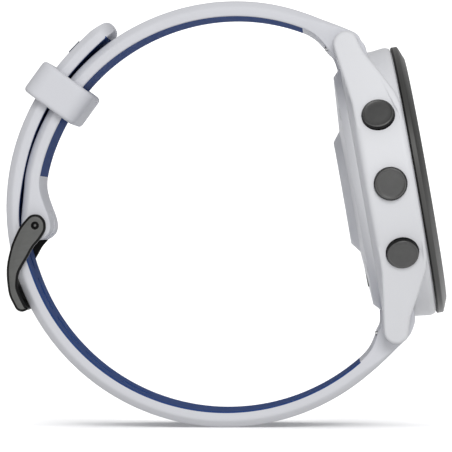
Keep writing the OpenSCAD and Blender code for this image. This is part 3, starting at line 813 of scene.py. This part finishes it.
def build_case():
    """The ring of the case with its lug arms and screw bosses, cut for screws, buttons and lug bars."""
    profile = rounded_outline([(OPENING_R, 0), (22.5, 0), (22.5, -0.18), (22.9, -0.18), (CASE_R, -0.85),
                               (CASE_R, -8.2), (COVER_R, -9.15), (COVER_R, -8), (20.8, -8), (20.8, -7.7),
                               (CAVITY_R, -7.7), (CAVITY_R, -8), (20, -8), (20, -1.2), (OPENING_R, -1.2)],
                              [0, 0, 0, 0.12, 0.5, 0.8, 0.12, 0, 0, 0, 0, 0, 0, 0, 0], 5)
    wall = max(i for i, p in enumerate(profile) if p.x > CASE_R - 0.01 and p.y > -1.5)
    steps = 16
    top, low = profile[wall], profile[wall + 1]
    profile[wall + 1:wall + 1] = [top + (low - top) * k / steps for k in range(1, steps)]
    case = lathe("case_shell", profile, 256)
    # A shallow cove below the rim, between the lug arms at 12 and 6 o'clock.
    for v in case.data.vertices:
        r, z = math.hypot(v.co.x, v.co.y) / MM, v.co.z / MM
        if r > CASE_R - 0.6 and -8.4 < z < -0.9:
            share = ease((abs(v.co.y) / MM / r - 0.72) / 0.16)
            cove = COVE * share * ease((-0.9 - z) / 2.8)
            v.co.x *= 1 - cove / r
            v.co.y *= 1 - cove / r
    arms = [lug_arm(sx, sy) for sx in (1, -1) for sy in (1, -1)]
    for arm in arms:
        carve(arm, [disc("cut_cover", COVER_R, -12, -8, 256),
                    disc("cut_cavity", CAVITY_R, -9, -1.2, 128),
                    disc("cut_opening", OPENING_R, -2, 2, 128)])
    bosses, cutters = [], []
    for angle in SCREWS_AT:
        place = Matrix.Translation((*(SCREW_RING * turn(angle) * MM), 0))
        boss = disc("boss", 2, -8, -4.2, 40)
        boss.data.transform(place)
        bosses.append(boss)
        hole = disc("cut_screw", 0.6, -9, -4.8, 24)
        hole.data.transform(place)
        cutters.append(hole)
    for angle in BUTTONS.values():
        place = HEAD.inverted() @ station(angle)
        for r, low, high in ((CAP_R + CAP_GAP, RECESS_FLOOR, 26), (0.85, 19, 22), (1.5, 19, 20.9)):
            hole = disc("cut_button", r, low, high, 96)
            hole.data.transform(place)
            cutters.append(hole)
    for sx in (1, -1):
        for sy in (1, -1):
            hole = disc("cut_bar", 0.5, 10, 12.8, 32)
            hole.data.transform(Matrix.Translation((0, sy * LUG_Y * MM, LUG_Z * MM))
                                @ Matrix.Rotation(math.radians(90 * sx), 4, "Y"))
            cutters.append(hole)
    carve(case, cutters, 30, added=arms + bosses)
    case.data.transform(HEAD)
    return case


def build_bezel():
    profile = [(17.8, 0.02), (22.9, 0.02), (23.05, 0.14), (23.05, 0.32), (23.05, 1.02), (22.98, 1.16),
               (22.86, 1.25), (20.98, 2.02), (20.8, 2.08), (20.6, 2.1), (19.25, 2.1), (19.1, 1.95),
               (19.1, 0.75), (17.8, 0.75)]
    ring = lathe("bezel_ring", profile, 240, 25)
    ring.data.transform(HEAD)
    return ring


def dress_frame():
    """Gives each CAD node the material of its slot."""
    slots = {s["node"]: s["material_slot"] for s in frame["record"]["subparts"]}
    for name, node in frame["nodes"].items():
        look = MATERIALS[slots[name]]
        if node.material_slots:
            for s in node.material_slots:
                s.material = look
        else:
            node.data.materials.append(look)


def dress_spring(node):
    """Puts a copy in place of a return spring."""
    source = frame["nodes"][node]
    slot = next(s["material_slot"] for s in frame["record"]["subparts"] if s["node"] == node)
    spring = new_object(node + "_coil", source.data.copy())
    spring.matrix_world = source.matrix_world.copy()
    dress(spring, MATERIALS[slot], FIXED, slot, node)
    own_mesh(spring)


dress_frame()
for key in BUTTONS:
    dress_spring(key + "_spring")
for key in ("upper", "lower"):
    dress_spring(key + "_bar_spring")
dress(build_upper_strap(), MATERIALS["strap_white"], FIXED, "strap_white", "upper_strap")
dress(build_lower_strap(), MATERIALS["strap_white"], FIXED, "strap_white", "lower_strap")
dress(build_lining("upper_lining_sheet", upper_inner(), upper_rim),
      MATERIALS["strap_blue"], FIXED, "strap_blue", "upper_lining")
dress(build_lining("lower_lining_sheet", lower_inner(), lower_rim, hole_cutters()),
      MATERIALS["strap_blue"], FIXED, "strap_blue", "lower_lining")
dress(build_marker(), MATERIALS["marker_dark"], FIXED, "marker_dark", "strap_marker")
dress(build_keeper(), MATERIALS["strap_white"], "keeper", "strap_white", "keeper_loop")
frame_piece = dress(build_buckle_frame(), [MATERIALS["buckle_metal"], SHADE_BLACK], "buckle", "buckle_metal",
                    "buckle_frame")
# Painted shade: all but the plates' flat outer faces (their rounded rims, inner faces, the hook and the
# crossbar) take the black shade material.
paint(frame_piece, 1, lambda c, n: abs(n.y) < 0.999 or abs(c.y) < PLATE_OUT - 0.02)
tongue = dress(build_tongue(), [MATERIALS["buckle_metal"], SHADE_BLACK], "tongue", "buckle_metal",
               "buckle_tongue")
bevel(tongue, 0.25, 3, 40)
bar = dress(build_bar(), [MATERIALS["buckle_metal"], SHADE_BLACK], "buckle", "buckle_metal", "buckle_bar")
# Painted shade: the bar is black except its dot's end face, a dark ring standing for the shade round the
# dot in the plate's eye.
paint(bar, 1, lambda c, n: (Vector((c.x, c.z)) - BAR_AT).length > BAR_DOT_R - 0.03)
for key in BUTTONS:
    cap = dress(build_button(key), [MATERIALS["button_metal"], SHADE_BLACK], key + "_key", "button_metal",
                key + "_button")
    axis = (station(BUTTONS[key]).to_3x3() @ Vector((0, 0, 1))).normalized()
    # Painted shade: each cap's side wall takes the black shade material.
    paint(cap, 1, lambda c, n: abs(n.dot(axis)) < 0.5)
bezel = dress(build_bezel(), [MATERIALS["bezel_black"], SHADE_BLACK], FIXED, "bezel_black", "bezel")
to_head = HEAD.inverted()
# Painted shade: the bezel's foot, below SEAM_TOP, takes the black shade material for the shadow in the
# seam.
paint(bezel, 1, lambda c, n: (to_head @ (c * MM)).z < SEAM_TOP * MM)
dress(build_case(), MATERIALS["case_resin"], FIXED, "case_resin", "case")
bevel(frame["nodes"]["rear_cover"], 0.12, 2, 28, weld=True)

# ---- camera, light and floor -----------------------------------------------------------------

CAMERA_AT = Vector((17.1, -770, -0.5)) * MM
IMAGE_CENTRE = Vector((-0.35, 0, -1.9)) * MM


def add_camera():
    data = bpy.data.cameras.new("camera")
    data.lens = 358
    data.sensor_width = 36
    data.clip_start = 0.05
    data.clip_end = 20
    cam = bpy.data.objects.new("camera", data)
    bpy.context.scene.collection.objects.link(cam)
    cam.location = CAMERA_AT
    cam.rotation_mode = "QUATERNION"
    cam.rotation_quaternion = (IMAGE_CENTRE - CAMERA_AT).to_track_quat("-Z", "Y")
    bpy.context.scene.camera = cam


def add_area(name, at, size, power):
    """A round soft light that faces the watch."""
    data = bpy.data.lights.new(name, "AREA")
    data.shape = "DISK"
    data.size = size
    data.energy = power
    lamp = bpy.data.objects.new(name, data)
    bpy.context.scene.collection.objects.link(lamp)
    lamp.location = at
    lamp.rotation_mode = "QUATERNION"
    lamp.rotation_quaternion = (-Vector(at)).to_track_quat("-Z", "Y")


def fill_ramp(ramp, stops):
    """Gives a colour ramp grey stops of [position, level]."""
    while len(ramp.elements) < len(stops):
        ramp.elements.new(0.5)
    for stop, (at, level) in zip(ramp.elements, stops):
        stop.position = at
        stop.color = (level, level, level, 1)


def add_world():
    """A pale room: white at eye level, dimmer overhead, underfoot and towards both sides."""
    world = bpy.data.worlds.new("studio")
    bpy.context.scene.world = world
    world.use_nodes = True
    nodes, links = world.node_tree.nodes, world.node_tree.links
    sky = nodes["Background"]
    where = nodes.new("ShaderNodeTexCoord")
    split = nodes.new("ShaderNodeSeparateXYZ")
    height = nodes.new("ShaderNodeMapRange")
    height.inputs["From Min"].default_value = -1
    ramp = nodes.new("ShaderNodeValToRGB")
    fill_ramp(ramp.color_ramp, ((0.0, 0.62), (0.36, 0.62), (0.47, 1.0), (0.53, 1.0), (0.65, 0.42),
                                (1.0, 0.5)))
    links.new(where.outputs["Generated"], split.inputs["Vector"])
    links.new(split.outputs["Z"], height.inputs["Value"])
    links.new(height.outputs["Result"], ramp.inputs["Fac"])
    side = nodes.new("ShaderNodeMath")
    side.operation = "ABSOLUTE"
    flank = nodes.new("ShaderNodeMapRange")
    flank.interpolation_type = "SMOOTHSTEP"
    flank.inputs["From Min"].default_value = 0.15
    flank.inputs["From Max"].default_value = 0.8
    flank.inputs["To Min"].default_value = 1.3
    flank.inputs["To Max"].default_value = 0.6
    both = nodes.new("ShaderNodeMath")
    both.operation = "MULTIPLY"
    links.new(split.outputs["X"], side.inputs[0])
    links.new(side.outputs["Value"], flank.inputs["Value"])
    links.new(ramp.outputs["Color"], both.inputs[0])
    links.new(flank.outputs["Result"], both.inputs[1])
    band = nodes.new("ShaderNodeValToRGB")
    fill_ramp(band.color_ramp, ((0.0, 0.0), (0.46, 0.0), (0.475, 1.1), (0.525, 1.1), (0.54, 0.0),
                                (1.0, 0.0)))
    bright = nodes.new("ShaderNodeMath")
    bright.operation = "MAXIMUM"
    links.new(height.outputs["Result"], band.inputs["Fac"])
    links.new(both.outputs["Value"], bright.inputs[0])
    links.new(band.outputs["Color"], bright.inputs[1])
    links.new(bright.outputs["Value"], sky.inputs["Strength"])
    sky.inputs["Color"].default_value = (1, 1, 1, 1)


def add_floor():
    """A pale floor with a wide soft light of its own, which keeps it evenly white."""
    bpy.ops.mesh.primitive_plane_add(size=8, location=(0, 0, cad_box[0].z - 0.00005))
    floor = bpy.context.object
    floor.name = "floor"
    floor.data.materials.append(material("floor", (0.86, 0.86, 0.865), 0.8, vary=0.005, depth=0.0))
    floor.visible_diffuse = False
    data = bpy.data.lights.new("floor_light", "SUN")
    data.energy = 2.95
    data.angle = math.radians(130)
    lamp = bpy.data.objects.new("floor_light", data)
    bpy.context.scene.collection.objects.link(lamp)
    lit = bpy.data.collections.new("lit_floor")
    lit.objects.link(floor)
    lamp.light_linking.receiver_collection = lit


bpy.context.scene.view_settings.view_transform = "Standard"
add_camera()
add_world()
add_floor()
add_area("front", (0.2, -1.0, 0.6), 0.6, 5.6)
